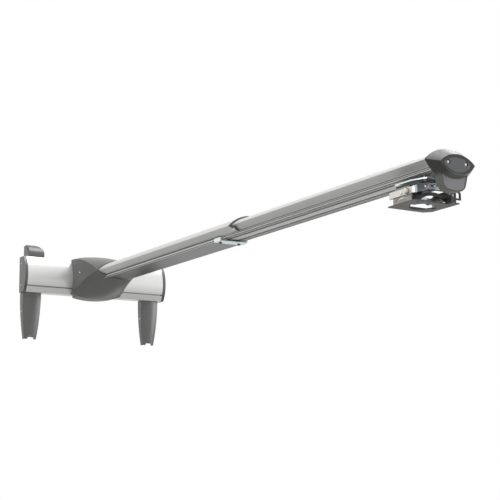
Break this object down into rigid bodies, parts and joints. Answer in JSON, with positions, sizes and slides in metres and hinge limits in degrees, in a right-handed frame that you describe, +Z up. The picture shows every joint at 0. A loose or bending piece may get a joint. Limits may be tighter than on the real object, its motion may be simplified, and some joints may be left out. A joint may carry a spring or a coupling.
{
  "type": "projector wall mount",
  "caption": "Telescoping wall arm for a short-throw projector: a rail on wall brackets, a sliding hub, an aluminium arm and an adjustable head with an interface plate.",
  "frame": {"origin": "centre of the four wall bolts, on the wall face", "axes": "+X along the wall rail to the right as seen from the room, +Y into the wall, so that the arm reaches out along -Y, +Z up"},
  "size_m": [0.4888, 1.745, 0.2918],
  "materials": {
    "zinc_steel": "satin zinc plate",
    "rail_aluminium": "clear anodised, brushed along the rail",
    "graphite_plastic": "fine grained graphite",
    "graphite_paint": "fine textured graphite paint on a die casting",
    "nylon": "plain",
    "arm_aluminium": "clear anodised, satin",
    "grey_plastic": "satin",
    "bright_steel": "polished",
    "dark_casting": "satin dark paint on a die casting",
    "panel_grey": "satin",
    "nickel_steel": "satin nickel",
    "dark_steel": "satin",
    "blue_zinc": "blue zinc plate",
    "plate_paint": "satin",
    "black_steel": "satin black",
    "black_knob": "fine grained"
  },
  "bodies": {
    "wall_frame": {"wall_plate_left": "zinc_steel", "wall_plate_right": "zinc_steel", "rail_bolts": "zinc_steel", "rail": "rail_aluminium", "end_cap_left": "graphite_plastic", "end_cap_right": "graphite_plastic", "end_cap_screws": "bright_steel", "upper_cover_left": "graphite_plastic", "upper_cover_right": "graphite_plastic", "lower_cover_left": "graphite_plastic", "lower_cover_right": "graphite_plastic", "cover_screws": "bright_steel"},
    "hub": {"hub_casting": "graphite_paint", "rail_glides": "nylon", "hub_clamp_screws": "bright_steel", "hub_side_screws": "bright_steel", "sleeve": "arm_aluminium", "sleeve_bottom_cover": "grey_plastic", "sleeve_end_ring": "graphite_plastic", "guide_plate": "zinc_steel", "guide_screws": "bright_steel", "arm_lock_screw": "bright_steel"},
    "extension": {"extension": "arm_aluminium", "extension_shoe": "nylon", "head_cap": "dark_casting", "eye_panel": "panel_grey", "shield_panel": "panel_grey", "head_screws": "bright_steel"},
    "trolley": {"trolley_plate": "zinc_steel", "trolley_spacers": "nickel_steel", "trolley_bolts": "bright_steel", "trolley_nuts": "nickel_steel", "yaw_washer": "zinc_steel", "yaw_bolt": "bright_steel", "yaw_nut": "nickel_steel"},
    "yaw": {"yaw_bracket": "dark_steel", "roll_lock_screw": "bright_steel"},
    "roll": {"roll_cradle": "blue_zinc", "roll_pins": "bright_steel", "tilt_pins": "bright_steel"},
    "tilt": {"tilt_bracket": "nickel_steel", "interface_plate": "plate_paint", "lock_frame": "black_steel", "lever_block": "black_steel", "lever_pin": "bright_steel"},
    "knob": {"tilt_knob": "black_knob"},
    "lever": {"lock_lever": "black_steel"}
  },
  "joints": [
    {"name": "hub_slide", "type": "slide", "parent": "wall_frame", "child": "hub", "axis": [1, 0, 0], "range_m": [-0.085, 0.085]},
    {"name": "arm_slide", "type": "slide", "parent": "hub", "child": "extension", "axis": [0, 1, 0], "range_m": [0, 0.4]},
    {"name": "trolley_slide", "type": "slide", "parent": "extension", "child": "trolley", "axis": [0, 1, 0], "range_m": [0, 0.2]},
    {"name": "yaw_turn", "type": "hinge", "parent": "trolley", "child": "yaw", "pos_m": [0, -1.63, 0.018], "axis": [0, 0, 1], "range_deg": [-8, 8]},
    {"name": "roll_turn", "type": "hinge", "parent": "yaw", "child": "roll", "pos_m": [0, -1.63, 0.0105], "axis": [0, 1, 0], "range_deg": [-4.5, 4.5]},
    {"name": "tilt_turn", "type": "hinge", "parent": "roll", "child": "tilt", "pos_m": [0, -1.63, -0.001], "axis": [1, 0, 0], "range_deg": [-4, 4]},
    {"name": "knob_turn", "type": "hinge", "parent": "tilt", "child": "knob", "pos_m": [-0.0573, -1.65, -0.001], "axis": [1, 0, 0], "continuous": true},
    {"name": "lever_swing", "type": "hinge", "parent": "tilt", "child": "lever", "pos_m": [0.0531, -1.68, -0.0125], "axis": [1, 0, 0], "range_deg": [0, 60]}
  ]
}
